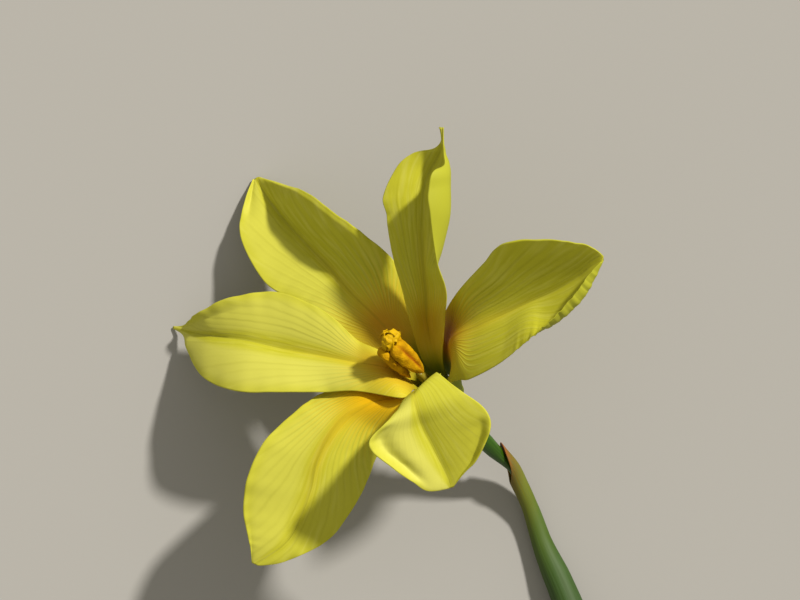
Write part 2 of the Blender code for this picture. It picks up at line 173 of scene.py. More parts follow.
TOP = (
    ((-5.6, 10.8, 5.4), (-3.3, 10.8, 4.4), (-1.15, 11.2, 8.9), (-1.05, 11.2, 9.4)),
    ((-6.7, 15.3, 5.2), (-3.6, 15.1, 5.4), (-0.95, 14.8, 11.2), (-0.85, 14.8, 11.7)),
    ((-7.9, 19.6, 6.2), (-4.0, 19.7, 6.8), (-2.0, 18.8, 12.6), (-2.1, 18.9, 13.2)),
    ((-8.7, 24.9, 6.8), (-4.1, 25.1, 8.2), (-0.5, 25.1, 12.8), (-3.0, 25.1, 14.8)),
    ((-8.9, 28.3, 6.6), (-3.7, 29.1, 8.0), (-0.4, 28.7, 12.4), (-3.2, 28.1, 14.8)),
    ((-6.8, 32.0, 6.4), (-2.8, 31.3, 7.8), (-0.5, 30.9, 12.2), (-2.5, 30.7, 14.2)),
    ((-5.1, 33.2, 6.9), (-2.1, 32.4, 8.2), (-0.8, 32.1, 11.6), (-1.15, 31.4, 12.4)),
    ((-2.5, 33.8, 8.4), (-1.6, 33.6, 9.2), (-1.1, 33.3, 11.0), (-1.2, 33.0, 11.4)),
    ((-1.8, 36.5, 10.6), (-1.6, 36.5, 10.6), (-1.4, 36.5, 10.7), (-1.2, 36.5, 10.9)),
)
RIGHT = (
    ((-1.4, 10.9, 3.6), (-0.2, 8.5, 8.6), (0.6, 3.6, 9.6), (0.6, 3.1, 9.6)),
    ((0.9, 15.1, 11.0), (3.5, 10.5, 11.6), (2.4, 3.9, 12.4), (2.4, 3.4, 12.7)),
    ((3.9, 18.4, 16.6), (6.9, 12.0, 13.2), (6.1, 5.8, 16.2), (6.0, 5.4, 16.6)),
    ((6.6, 21.1, 20.6), (10.5, 13.7, 15.0), (9.9, 8.8, 18.8), (9.8, 8.5, 19.4)),
    ((11.6, 21.6, 21.8), (13.5, 15.1, 16.8), (13.5, 10.9, 20.2), (13.1, 11.4, 21.3)),
    ((16.0, 21.2, 22.4), (16.3, 16.8, 18.7), (17.0, 14.2, 20.8), (16.2, 14.9, 21.8)),
    ((18.4, 20.4, 22.2), (18.2, 18.3, 20.2), (18.6, 16.9, 20.9), (17.9, 17.3, 21.7)),
    ((19.6, 19.5, 21.1), (19.6, 19.1, 21.0), (19.5, 18.8, 21.1), (19.3, 18.7, 21.4)),
)
LOWER_LEFT = (
    ((-7.2, -0.8, 7.8), (-9.9, 0.2, 7.05), (-12.6, 2.4, 4.9)),
    ((-8.9, -4.4, 5.6), (-13.6, -1.5, 6.8), (-17.1, 1.4, 3.4)),
    ((-10.2, -7.4, 4.8), (-16.3, -4.5, 7.0), (-20.7, -1.1, 4.8)),
    ((-11.3, -10.3, 5.0), (-17.9, -7.7, 6.6), (-24.8, -4.9, 6.0)),
    ((-13.3, -14.1, 5.0), (-18.7, -11.2, 5.8), (-27.1, -9.7, 6.2)),
    ((-16.0, -17.7, 5.0), (-19.9, -14.5, 5.2), (-27.7, -13.7, 5.8)),
    ((-20.3, -20.2, 5.0), (-22.0, -18.3, 5.0), (-27.1, -17.6, 5.6)),
    ((-23.6, -21.3, 4.8), (-24.8, -20.4, 5.0), (-26.7, -19.5, 5.2)),
    ((-25.8, -21.5, 4.8), (-26.2, -21.3, 4.8), (-26.6, -21.1, 4.8)),
)
LOWER_RIGHT = (
    ((-1.4, 3.3, 11.6), (-4.7, 1.5, 12.8), (-6.6, 0.4, 12.2)),
    ((-1.5, 3.8, 15.6), (-5.1, 0.9, 17.2), (-7.0, -0.3, 16.6)),
    ((0.7, 2.1, 18.0), (-4.7, -0.7, 17.6), (-8.4, -2.0, 17.8)),
    ((3.8, -0.1, 18.6), (-4.0, -2.8, 16.6), (-10.9, -4.4, 17.8)),
    ((5.0, -2.2, 18.2), (-2.9, -5.0, 16.0), (-10.5, -6.2, 17.4)),
    ((4.4, -4.6, 17.4), (-1.9, -7.0, 15.6), (-8.2, -8.0, 16.8)),
    ((2.8, -7.6, 16.4), (-0.9, -9.0, 15.2), (-5.3, -10.1, 15.8)),
    ((1.1, -9.4, 15.6), (-0.4, -10.2, 15.0), (-2.9, -11.4, 15.2)),
    ((0.1, -10.8, 14.8), (-0.3, -10.9, 14.8), (-0.7, -11.0, 14.8)),
)


def unit(vectors):
    """The vectors, each brought to length 1."""
    return vectors / np.linalg.norm(vectors, axis=-1, keepdims=True)


# The flower faces along AXIS. FRONT and SIDE are square to it, FRONT the one that looks up most.
AXIS = unit(np.array([-0.506, 0.575, 0.643]))
FRONT = unit(np.array([0.0, 0.0, 1.0]) - AXIS[2] * AXIS)
SIDE = np.cross(AXIS, FRONT)


def step(low, high, values):
    """0 below low, 1 above high, and a smooth S between them: 3u^2 - 2u^3 of the share between."""
    u = np.clip((values - low) / (high - low), 0.0, 1.0)
    return u * u * (3 - 2 * u)


def hump(values, middle, width):
    """A bell of height 1: e to the minus half the square of the distance in widths."""
    return np.exp(-0.5 * ((values - middle) / width) ** 2)


def ring_point(angle, height, radius):
    """The point at this angle and radius round the flower's axis, this high above its base."""
    turn = math.radians(angle)
    return AXIS * height + radius * (math.cos(turn) * FRONT + math.sin(turn) * SIDE)


def turns_round(sides):
    """The angles of this many even steps round a circle, from 0."""
    return np.linspace(0, 2 * math.pi, sides, endpoint=False)


def lengths_along(points):
    """How far along the line through points each of them lies, from 0."""
    return np.concatenate([[0.0], np.cumsum(np.linalg.norm(np.diff(points, axis=0), axis=1))])


def through(knots, values, at):
    """A smooth curve through values at knots, read at the places in at: cubic pieces whose
    slope at each knot is that of the parabola through it and its two neighbours."""
    values = np.asarray(values, float)
    steps = np.diff(knots).reshape((-1,) + (1,) * (values.ndim - 1))
    slopes = np.diff(values, axis=0) / steps
    inner = (slopes[:-1] * steps[1:] + slopes[1:] * steps[:-1]) / (steps[:-1] + steps[1:])
    ends = 2 * slopes[:1] - inner[:1], 2 * slopes[-1:] - inner[-1:]
    tangents = np.concatenate([ends[0], inner, ends[1]])
    index = np.clip(np.searchsorted(knots, at, side="right") - 1, 0, len(knots) - 2)
    h = steps[index]
    t = ((at - knots[index]) / np.diff(knots)[index]).reshape(h.shape)
    return (
        (2 * t**3 - 3 * t**2 + 1) * values[index]
        + (t**3 - 2 * t**2 + t) * h * tangents[index]
        + (3 * t**2 - 2 * t**3) * values[index + 1]
        + (t**3 - t**2) * h * tangents[index + 1]
    )


def curve_of_three(first, second, third, across):
    """For every row, the parabola-sloped cubic through three points, read at across from 0 to 2:
    0 to 1 runs from the first to the second point and 1 to 2 from the second to the third."""
    gap_a = np.linalg.norm(second - first, axis=1)[:, None, None]
    gap_b = np.linalg.norm(third - second, axis=1)[:, None, None]
    slope_a, slope_b = (second - first)[:, None] / gap_a, (third - second)[:, None] / gap_b
    middle = (slope_a * gap_b + slope_b * gap_a) / (gap_a + gap_b)
    starts, ends = 2 * slope_a - middle, 2 * slope_b - middle
    rolled = (across >= 1)[None, :, None]
    t = np.where(across >= 1, across - 1, across)[None, :, None]
    gap = np.where(rolled, gap_b, gap_a)
    return (
        (2 * t**3 - 3 * t**2 + 1) * np.where(rolled, second[:, None], first[:, None])
        + (t**3 - 2 * t**2 + t) * gap * np.where(rolled, middle, starts)
        + (3 * t**2 - 2 * t**3) * np.where(rolled, third[:, None], second[:, None])
        + (t**3 - t**2) * gap * np.where(rolled, ends, middle)
    )


def limb_surface(angle, claw, limb, bulge):
    """The tepal's middle surface as rows from base to tip and columns from left to right margin,
    with each point's length from the base and its share of the way from midrib to margin, which
    is negative on the left and passes 1 on a roll, and the length at which the limb starts.

    A row joins the margins to the midrib with two lines that bulge to the inner face by bulge
    times their width, as 4u(1 - u) of the share u along them."""
    rails = []
    for height, radius, spread in claw:
        turns = [angle + spread, angle, angle - spread]
        if len(limb[0]) == 4:
            turns.insert(2, angle - spread * (1 - CLAW_LIP))
        rails.append([ring_point(turn, height, radius) for turn in turns])
    rails = np.array(rails + [[np.array(point) for point in station] for station in limb])
    knots = lengths_along(rails[:, 1])
    along = np.linspace(0.0, knots[-1], ROWS)
    rows = through(knots, rails, along)
    left, midrib, right = rows[:, 0], rows[:, 1], rows[:, 2]
    facing = unit(np.cross(unit(np.gradient(midrib, axis=0)), left - right))
    share = np.linspace(0.0, 1.0, HALF_COLUMNS + 1)

    def half(edge):
        width = np.linalg.norm(edge - midrib, axis=1)[:, None, None]
        straight = midrib[:, None] + (edge - midrib)[:, None] * share[:, None]
        return straight + facing[:, None] * width * bulge * (4 * share * (1 - share))[:, None]

    across = np.concatenate([-share[:0:-1], share])
    if rows.shape[1] == 4:
        roll = np.linspace(1.0, 2.0, ROLL_COLUMNS + 1)[1:]
        right_half = curve_of_three(midrib, right, rows[:, 3], np.concatenate([share, roll]))
        across = np.concatenate([across, roll])
    else:
        right_half = half(right)
    grid = np.concatenate([half(left)[:, :0:-1], right_half], axis=1)
    return grid, *np.meshgrid(along, across, indexing="ij"), knots[len(claw)]


def closed_sheet(grid, thickness):
    """Points and quads of a closed sheet about the grid, half its thickness to each side."""
    down = np.gradient(grid, axis=0)
    over = np.gradient(grid, axis=1)
    offset = unit(np.cross(over, down)) * (thickness[..., None] / 2)
    rows, columns = grid.shape[:2]
    index = np.arange(rows * columns).reshape(rows, columns)
    quads = np.stack([index[:-1, :-1], index[:-1, 1:], index[1:, 1:], index[1:, :-1]], -1)
    quads = quads.reshape(-1, 4)
    under = rows * columns
    rim = np.concatenate([index[0, :-1], index[:-1, -1], index[-1, :0:-1], index[:0:-1, 0]])
    after = np.roll(rim, -1)
    wall = np.stack([rim, rim + under, after + under, after], 1)
    points = np.concatenate([(grid + offset).reshape(-1, 3), (grid - offset).reshape(-1, 3)])
    return points, np.concatenate([quads, quads[:, ::-1] + under, wall])


def make_piece(name, points, faces, material, node, slot, **values):
    """A smooth-shaded piece from points in the flower's frame, kept above the table, with a
    named value on each point for its material to read."""
    points = (points + FLOWER_BASE) * MM
    points[:, 2] = np.maximum(points[:, 2], LOWEST)
    mesh = bpy.data.meshes.new(name)
    mesh.from_pydata(points.tolist(), [], [list(face) for face in faces])
    mesh.materials.append(material)
    mesh.shade_smooth()
    for key, value in values.items():
        layer = mesh.attributes.new(key, "FLOAT", "POINT")
        layer.data.foreach_set("value", np.ascontiguousarray(value, dtype=np.float32).ravel())
    piece = place(bpy.data.objects.new(name, mesh))
    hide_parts(node)
    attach(piece, "root")


def add_node(tree, kind, settings=None, **inputs):
    """Adds a node, sets its own properties, then sets or links its inputs, named by number as
    i0, i1 or by name with underscores for spaces."""
    node = tree.nodes.new(kind)
    for key, value in (settings or {}).items():
        setattr(node, key, value)
    for key, value in inputs.items():
        numbered = key[0] == "i" and key[1:].isdigit()
        socket = node.inputs[int(key[1:]) if numbered else key.replace("_", " ")]
        if isinstance(value, bpy.types.NodeSocket):
            tree.links.new(value, socket)
        else:
            socket.default_value = value
    return node


def mix(tree, share, first, second):
    """The colour that goes from first to second as share goes from 0 to 1."""
    node = add_node(tree, "ShaderNodeMix", {"data_type": "RGBA"}, i0=share, i6=first, i7=second)
    return node.outputs[2]


def compute(tree, operation, *values):
    """The result of one operation on numbers."""
    inputs = {f"i{k}": value for k, value in enumerate(values)}
    return add_node(tree, "ShaderNodeMath", {"operation": operation}, **inputs).outputs[0]


def remap(tree, value, low, high, first=0.0, last=1.0):
    """value carried from the range low to high over to the range first to last."""
    node = add_node(tree, "ShaderNodeMapRange", Value=value, i1=low, i2=high, i3=first, i4=last)
    return node.outputs[0]


def attribute(tree, name):
    """The value of this name on the mesh's points."""
    return add_node(tree, "ShaderNodeAttribute", {"attribute_name": name}).outputs["Fac"]


def let_light_by(tree, shader, translucent, share):
    """Ends the material: the shader's light, with this share of it from the translucent node."""
    mixed = add_node(
        tree, "ShaderNodeMixShader", i0=share, i1=shader.outputs[0], i2=translucent.outputs[0]
    )
    tree.links.new(mixed.outputs[0], tree.nodes["Material Output"].inputs["Surface"])


# Fresh petal tissue: thin, silky and matt, with a waxy lemon yellow that turns golden and orange
# at the throat and a darker green down in its claws, partly their own green and partly painted
# shade of the deep throat. Its pale streaks and paler lit halves are painted sheen. Light comes
# through it, so the shaded side glows olive yellow, and the veins are darker threads that stand a
# little proud.
petal, tree, shader = new_surface("silky_petal", 0.52, 0.15)
place_on = add_node(tree, "ShaderNodeTexCoord").outputs["Object"]
vein = attribute(tree, "vein")

wander = add_node(tree, "ShaderNodeTexNoise", Vector=place_on, Scale=240.0, Detail=3.0)
shifted = compute(tree, "MULTIPLY_ADD", wander.outputs["Fac"], VEIN_WANDER, vein)
wave = compute(tree, "COSINE", compute(tree, "MULTIPLY", shifted, 2 * math.pi))
thread = compute(tree, "POWER", compute(tree, "MULTIPLY_ADD", wave, 0.5, 0.5), 3.0)
strand = add_node(tree, "ShaderNodeTexNoise", {"noise_dimensions": "1D"}, W=vein, Scale=0.9, Detail=1.0)
thread = compute(tree, "MULTIPLY", thread, remap(tree, strand.outputs["Fac"], 0.35, 0.65, 0.25, 1.0))
thread = compute(tree, "MULTIPLY", thread, attribute(tree, "fade"))
thread = compute(tree, "MAXIMUM", thread, attribute(tree, "rib"))

streak_at = add_node(tree, "ShaderNodeCombineXYZ", X=vein, Y=attribute(tree, "run"))
streaks = add_node(tree, "ShaderNodeTexNoise", Vector=streak_at.outputs[0], Scale=1.7, Detail=3.0)
blotches = add_node(tree, "ShaderNodeTexNoise", Vector=place_on, Scale=160.0, Detail=3.0)
# Painted sheen: pale streaks along the veins and the paler lit halves, mixed toward a pale yellow
painted_sheen = remap(tree, streaks.outputs["Fac"], 0.45, 0.75, 0.0, 0.35)
painted_sheen = compute(tree, "MAXIMUM", painted_sheen, attribute(tree, "half_sheen"))

tissue = mix(tree, blotches.outputs["Fac"], linear("C6C42C"), linear("CFCE3E"))
tissue = mix(tree, painted_sheen, tissue, linear("E6E478"))
tissue = mix(tree, attribute(tree, "back"), tissue, linear("B4B634"))
tissue = mix(tree, attribute(tree, "flush"), tissue, linear("F0C000"))
tissue = mix(tree, attribute(tree, "throat"), tissue, linear("B86A00"))
# Painted shade of the deep throat: the claws darken to green, partly their own green and partly painted
# shade
tissue = mix(tree, attribute(tree, "claw_green_and_shade"), tissue, linear("86960E"))
tissue = mix(tree, compute(tree, "MULTIPLY", thread, 0.3), tissue, linear("8E8A10"))
tree.links.new(tissue, shader.inputs["Base Color"])
proud = add_node(tree, "ShaderNodeBump", Height=thread, Strength=0.35, Distance=0.00012)
tree.links.new(proud.outputs[0], shader.inputs["Normal"])
# Light that has passed through the tissue is more strongly coloured than light thrown back
filtered = add_node(tree, "ShaderNodeGamma", Color=tissue, Gamma=1.4).outputs[0]
through_light = add_node(tree, "ShaderNodeBsdfTranslucent", Color=filtered)
let_light_by(tree, shader, through_light, PETAL_LETS_BY)


def wavy(along, beyond, wave, phase):
    """A sway of the margin from wave's start share on, by its amount and at about its length:
    three sines of unlike length added."""
    amount, length, begin = wave
    turn = 2 * math.pi * along / length + phase
    swell = step(begin - 0.15, begin + 0.1, beyond)
    uneven = 0.5 * np.sin(turn + np.sin(0.31 * turn)) + 0.3 * np.sin(1.63 * turn + 1.9)
    return amount * swell * (uneven + 0.3 * np.sin(2.71 * turn + 0.7))


def curl(reach, beyond, lip):
    """How far the margin turns up: by the lip's height over its share of the half, between its
    start and end along the limb, with a channel of its depth just inside."""
    height, width, depth, begin, end = lip
    held = step(begin - 0.1, begin + 0.1, beyond) * (1 - step(end - 0.1, end + 0.1, beyond))
    return held * (height * step(1 - width, 1.0, reach) - depth * hump(reach, 1 - width, width / 2))


def tepal(name, angle, claw, limb, bulge, crease, waves, lips, flush, threads, half_sheen, phase):
    """One tepal: a closed sheet on the surface of its limb and claw, thinner at its margins.

    crease is how deep its midrib lies, or how high if negative. waves and lips hold the sway and
    the curl of the left and the right margin, threads how strong its veins are, the sheen pair how
    pale painted sheen makes its left and right half, and phase where its sways start. flush is how
    far the golden and the orange reach from where the limb starts, with their strengths, and how
    far to the left of the midrib their middle lies.

    The veins fan from the throat: a vein's number grows with the slope from the throat, which is
    the distance from the midrib over a width that grows evenly along the limb, and is divided by
    a term that grows with that distance, so that veins bend out to the margin."""
    grid, along, across, start = limb_surface(angle, claw, limb, bulge)
    past = along - start
    beyond = np.clip(past / (along[-1, 0] - start), 0.0, 1.0)
    reach = np.minimum(np.abs(across), 1.0)
    left = across < 0
    half_width = np.linalg.norm(grid[:, 0] - grid[:, HALF_COLUMNS], axis=1)[:, None]
    off_rib = reach * half_width
    slope = off_rib / (FAN_WIDTH + FAN_SPREAD * np.maximum(past, 0))
    fan = VEINS * slope**0.8 / (1 + 0.05 * off_rib)

    sway_left = wavy(along, beyond, waves[0], phase)
    sway_right = wavy(along, beyond, waves[1], phase + 2.2)
    lift = reach**3 * np.where(left, sway_left, sway_right) * (1 - 0.7 * step(0.9, 1.0, beyond))
    lift += np.where(left, curl(reach, beyond, lips[0]), curl(reach, beyond, lips[1]))
    lift -= crease * np.exp(-off_rib / CREASE_WIDTH) * (1 - step(0.8, 1.0, beyond))
    lift += VEIN_RELIEF * threads * np.cos(2 * math.pi * fan) * step(0.05, 0.3, reach)
    normal = unit(np.cross(np.gradient(grid, axis=1), np.gradient(grid, axis=0)))
    grid = grid + normal * (lift * step(-2, 4, past))[..., None]
    thickness = MARGIN_THICKNESS + (TEPAL_THICKNESS - MARGIN_THICKNESS) * (1 - reach**6)
    if len(limb[0]) == 4:
        thickness = np.where(across > 1.8, MARGIN_THICKNESS, thickness)
    points, faces = closed_sheet(grid, thickness)

    (golden_reach, golden_share), (orange_reach, orange_share), aside = flush
    ragged = 1 + 0.25 * np.cos(2 * math.pi * fan)
    off_middle = np.where(left, off_rib - aside, off_rib + aside)
    inward = np.minimum(past, 0) * 0.5 + np.maximum(past, 0)
    distance = np.hypot(inward, off_middle * 0.9) / ragged
    golden = golden_share * hump(distance, 0, golden_reach)
    golden_rib = 0.6 * golden_share * hump(off_rib, 0, 0.6) * hump(past, 0, 2.4 * golden_reach)
    # Painted sheen: the halves that catch the lamp are paled, from a little past the throat, fading at the
    # margins
    sheen_share = np.where(left, half_sheen[0], half_sheen[1]) * step(0.1, 0.3, reach) * step(1, 6, past)
    fade = threads * step(0.0, 0.2, reach) * (1 - 0.7 * step(0.6, 1.0, reach))
    values = {
        "half_sheen": sheen_share * (1 - 0.7 * step(0.75, 1.0, reach)),
        "flush": np.maximum(golden, golden_rib),
        "throat": orange_share * hump(distance, 0, orange_reach),
        # Painted shade: the claws down in the throat go darker green, partly their own colour
        "claw_green_and_shade": 0.9 * (1 - step(-7, -2.5, past)),
        "vein": fan,
        "run": along * RUN_PER_MM,
        "fade": fade * step(-4, 2, past) * (1 - 0.6 * beyond),
        "rib": hump(off_rib, 0, RIB_WIDTH) * step(-4, 1, past),
    }
    both = {key: np.concatenate([value.ravel(), value.ravel()]) for key, value in values.items()}
    both["back"] = np.repeat([0.0, 1.0], grid.size // 3)
    make_piece("silky_" + name, points, faces, petal, name, "tepal", **both)


# A margin that doesn't curl
FLAT = (0.0, 0.1, 0.0, 0.0, 1.0)

tepal(
    "outer_tepal_upper_left", 180, OUTER_CLAW, UPPER_LEFT, 0.0, 0.3,
    ((0.12, 6.0, 0.0), (0.1, 8.0, 0.0)), ((0.6, 0.3, 0.2, 0.86, 1.0), (-0.4, 0.1, 0.0, 0.2, 1.1)),
    ((3.4, 0.5), (2.2, 0.55), 0.0), 1.0, (0.3, 0.0), 0.4,
)
tepal(
    "inner_tepal_left", 240, INNER_CLAW, LEFT, 0.05, 0.14,
    ((0.1, 8.0, 0.0), (0.12, 7.0, 0.0)), (FLAT, (0.8, 0.3, 0.0, 0.55, 0.9)),
    ((3.2, 0.6), (2.0, 0.45), 0.0), 0.8, (0.5, 0.4), 1.7,
)
tepal(
    "inner_tepal_top", 120, INNER_CLAW, TOP, 0.04, 0.3,
    ((0.08, 5.0, 0.3), (0.0, 3.0, 0.3)), (FLAT, FLAT),
    ((3.0, 0.35), (1.6, 0.3), 0.0), 1.0, (0.0, 0.0), 2.9,
)
tepal(
    "outer_tepal_right", 66, RIGHT_CLAW, RIGHT, -0.07, 0.2,
    ((0.1, 6.0, 0.3), (0.14, 1.3, 0.5)), (FLAT, FLAT),
    ((3.2, 0.5), (1.9, 0.9), 1.6), 1.1, (0.0, 0.0), 0.9,
)
tepal(
    "outer_tepal_lower_left", 297, LOWER_CLAW, LOWER_LEFT, 0.06, -0.4,
    ((0.12, 7.0, 0.0), (0.12, 6.0, 0.0)), (FLAT, (0.1, 0.1, 0.0, 0.2, 1.0)),
    ((3.6, 0.95), (1.0, 0.2), 0.0), 0.9, (0.1, 0.3), 3.6,
)
tepal(
    "inner_tepal_lower_right", 354, INNER_CLAW, LOWER_RIGHT, 0.02, 0.15,
    ((0.1, 5.0, 0.2), (0.1, 4.0, 0.2)), ((0.9, 0.18, 0.1, 0.6, 0.92), (0.7, 0.24, 0.8, 0.45, 0.85)),
    ((1.6, 0.3), (0.8, 0.0), 0.0), 0.45, (0.1, 0.6), 5.1,
)


# The stamens: filaments grown into one slender column, and three anthers pressed round the style,
# each of two lobes that have split and are caked with granular orange pollen.
LEAN = 0.085
FILAMENTS = ((0.3, 0.7), (2.0, 0.75), (5.0, 0.7), (7.0, 0.6), (7.8, 0.4))
FILAMENT_RINGS = 50
FILAMENT_SIDES = 36
ANTHER = ((8.2, 0.12), (9.0, 0.65), (10.3, 1.1), (11.8, 1.35), (13.6, 1.3), (14.7, 1.05), (15.1, 0.25))
ANTHER_RINGS = 90
ANTHER_SIDES = 72
ANTHER_ANGLES = (30, 150, 270)
ANTHER_OFFSET = 1.17
ANTHER_SQUASH = 0.62
SPLIT_DEPTH = 0.42
BACK_DEPTH = 0.2


def column_centre(height, sway=0.0):
    """The column's centre this high above the base: along the axis, leaning a little aside."""
    height = np.asarray(height, float)[..., None]
    return AXIS * height + SIDE * (np.asarray(sway, float)[..., None] - LEAN * height)


def lathe(centres, spokes_a, spokes_b, radii, shape):
    """A closed skin of rings: ring k is centre k + radius k * shape(turn) * (cos a + sin b)."""
    rings, sides = shape.shape
    turn = turns_round(sides)
    spoke = np.cos(turn)[None, :, None] * spokes_a + np.sin(turn)[None, :, None] * spokes_b
    skin = centres[:, None] + (radii[:, None] * shape)[..., None] * spoke
    index = np.arange(rings * sides).reshape(rings, sides)
    after = np.roll(index, -1, axis=1)
    quads = np.stack([index[:-1], after[:-1], after[1:], index[1:]], -1).reshape(-1, 4)
    ends = np.stack([after[0], index[0], np.full(sides, rings * sides)], -1)
    tips = np.stack([index[-1], after[-1], np.full(sides, rings * sides + 1)], -1)
    points = np.concatenate([skin.reshape(-1, 3), centres[:1], centres[-1:]])
    return points, quads.tolist() + ends.tolist() + tips.tolist()


# Pollen caked on the anthers: matt grains of a deep golden orange, drawn at 0.2 mm because real
# ones are too fine to show
pollen, tree, shader = new_surface("caked_pollen", 0.85, 0.1)
place_on = add_node(tree, "ShaderNodeTexCoord").outputs["Object"]
grains = add_node(tree, "ShaderNodeTexVoronoi", Vector=place_on, Scale=5000.0)
patches = add_node(tree, "ShaderNodeTexNoise", Vector=place_on, Scale=900.0, Detail=4.0)
patchy = remap(tree, patches.outputs["Fac"], 0.35, 0.65)
amber = mix(tree, patchy, linear("A27600"), linear("BE9202"))
amber = mix(tree, attribute(tree, "furrow"), amber, linear("8C4A02"))
tree.links.new(amber, shader.inputs["Base Color"])
grainy = add_node(tree, "ShaderNodeBump", Height=grains.outputs["Distance"], Strength=0.6, Distance=0.0001)
tree.links.new(grainy.outputs[0], shader.inputs["Normal"])

heights, widths = np.array(ANTHER).T
rise = np.linspace(0, 1, ANTHER_RINGS)
height = heights[0] + (heights[-1] - heights[0]) * rise
radius = np.maximum(through(heights, widths, height), 0.05)
rise = rise[:, None]
turn = turns_round(ANTHER_SIDES)
# A furrow runs down the outer face, where the two lobes meet, and dies out at both ends
opening = np.sin(math.pi * rise) ** 0.5
behind = hump(np.angle(np.exp(1j * (turn - math.pi))), 0, 0.3)[None]
for number, angle in enumerate(ANTHER_ANGLES, start=1):
    outward = ring_point(angle, 0, 1)
    aside = np.cross(AXIS, outward)
    furrow = hump(np.angle(np.exp(1j * (turn - 0.12 * math.sin(number)))), 0, 0.2)[None] * opening
    lumps = 0.035 * np.sin(5 * turn + 14 * rise + number) + 0.03 * np.sin(3 * turn - 23 * rise)
    shape = 1 - SPLIT_DEPTH * furrow - BACK_DEPTH * behind + lumps
    centres = column_centre(height) + outward * ANTHER_OFFSET
    points, faces = lathe(centres, outward * ANTHER_SQUASH, aside, radius, shape)
    stain = np.concatenate([furrow.ravel(), [0, 0]])
    make_piece(f"pollen_anther_{number}", points, faces, pollen, f"anther_{number}", "anther", furrow=stain)

# The column's skin: smooth moist tissue of a dull olive yellow, a little clouded
moist, tree, shader = new_surface("moist_filament", 0.4, 0.5)
place_on = add_node(tree, "ShaderNodeTexCoord").outputs["Object"]
cloud = add_node(tree, "ShaderNodeTexNoise", Vector=place_on, Scale=500.0, Detail=2.0)
olive = mix(tree, cloud.outputs["Fac"], linear("7A6A12"), linear("8E8420"))
tree.links.new(olive, shader.inputs["Base Color"])
shader.inputs["Subsurface Weight"].default_value = 0.2
shader.inputs["Subsurface Radius"].default_value = (0.0008, 0.0006, 0.0002)

heights, widths = np.array(FILAMENTS).T
height = np.linspace(heights[0], heights[-1], FILAMENT_RINGS)
shape = np.tile(1 + 0.06 * np.cos(3 * turns_round(FILAMENT_SIDES)), (FILAMENT_RINGS, 1))
points, faces = lathe(column_centre(height), FRONT, SIDE, through(heights, widths, height), shape)
make_piece("moist_filament_column", points, faces, moist, "filament_column", "filament")


# The style: a thread between the anthers that opens at the top into three branches, each with a
# pair of thin ragged crests, one grown piece.
STYLE_FOOT = 8.1
STYLE_RINGS = 40
CREST_FOOT = 14.1
CREST_RISE = 2.55
CREST_THICKNESS = 0.16
CREST_LETS_BY = 0.25
# The two crests of a branch: angle from the branch, half width, share of the full rise, raggedness
CRESTS = ((-20, 1.25, 1.0, 0.05), (32, 1.0, 0.86, 0.06))


def style_centre(height):
    """The style's centre: the column's, swaying aside by 0.9 from height 14.6 up to 15.6."""
    return column_centre(height, 0.9 * step(14.6, 15.6, height))


def crest(angle, width, rise, ragged):
    """One crest: a thin plate on the style that widens upward to its full width and cups inward
    across it. It leans out by 0.72 sin(3.3 u^1.4) of the share u of its height, so it bends back
    in at the top, and has an upper rim made ragged by sines."""
    up, over = np.meshgrid(np.linspace(0, 1, 40), np.linspace(-1, 1, 30), indexing="ij")
    out = ring_point(angle, 0, 1)
    aside = np.cross(AXIS, out)
    rim = np.sin(6.3 * over + angle) + 0.5 * np.sin(14 * over + 2 * angle) + 0.3 * np.sin(29 * over)
    height = CREST_FOOT + rise * up * (1 + ragged * up**3 * rim - 0.16 * up**3 * over**2)
    cupped = 0.25 * over**2 * width * up - 0.05 * up * np.sin(9 * over + 7 * up)
    outward = 0.34 + 0.72 * np.sin(3.3 * up**1.4) - cupped
    sideways = over * (0.3 + (width - 0.3) * step(0, 0.6, up))
    grid = style_centre(height) + out * outward[..., None] + aside * sideways[..., None]
    return closed_sheet(grid, CREST_THICKNESS - 0.06 * up)


# Petal-like crests: thin, matt and paler than the pollen, with some light coming through
frill, tree, shader = new_surface("thin_crest", 0.6, 0.15)
place_on = add_node(tree, "ShaderNodeTexCoord").outputs["Object"]
cloud = add_node(tree, "ShaderNodeTexNoise", Vector=place_on, Scale=1400.0, Detail=3.0)
tint = mix(tree, cloud.outputs["Fac"], linear("C69C00"), linear("DEBA08"))
tree.links.new(tint, shader.inputs["Base Color"])
crest_light = add_node(tree, "ShaderNodeBsdfTranslucent", Color=tint)
let_light_by(tree, shader, crest_light, CREST_LETS_BY)

height = np.linspace(STYLE_FOOT, CREST_FOOT + 0.8, STYLE_RINGS)
radius = 0.24 + 0.16 * step(13, 14.6, height)
solids = [lathe(style_centre(height), FRONT, SIDE, radius, np.ones((STYLE_RINGS, 20)))]
for branch in ANTHER_ANGLES:
    for aside_by, width, share, ragged in CRESTS:
        solids.append(crest(branch + aside_by, width, CREST_RISE * share, ragged))
starts = np.cumsum([0] + [len(points) for points, _ in solids])
points = np.concatenate([points for points, _ in solids])
faces = [
    [int(corner) + int(start) for corner in face]
    for (_, own_faces), start in zip(solids, starts)
    for face in own_faces
]
make_piece("thin_style_branches", points, faces, frill, "style_branches", "anther")


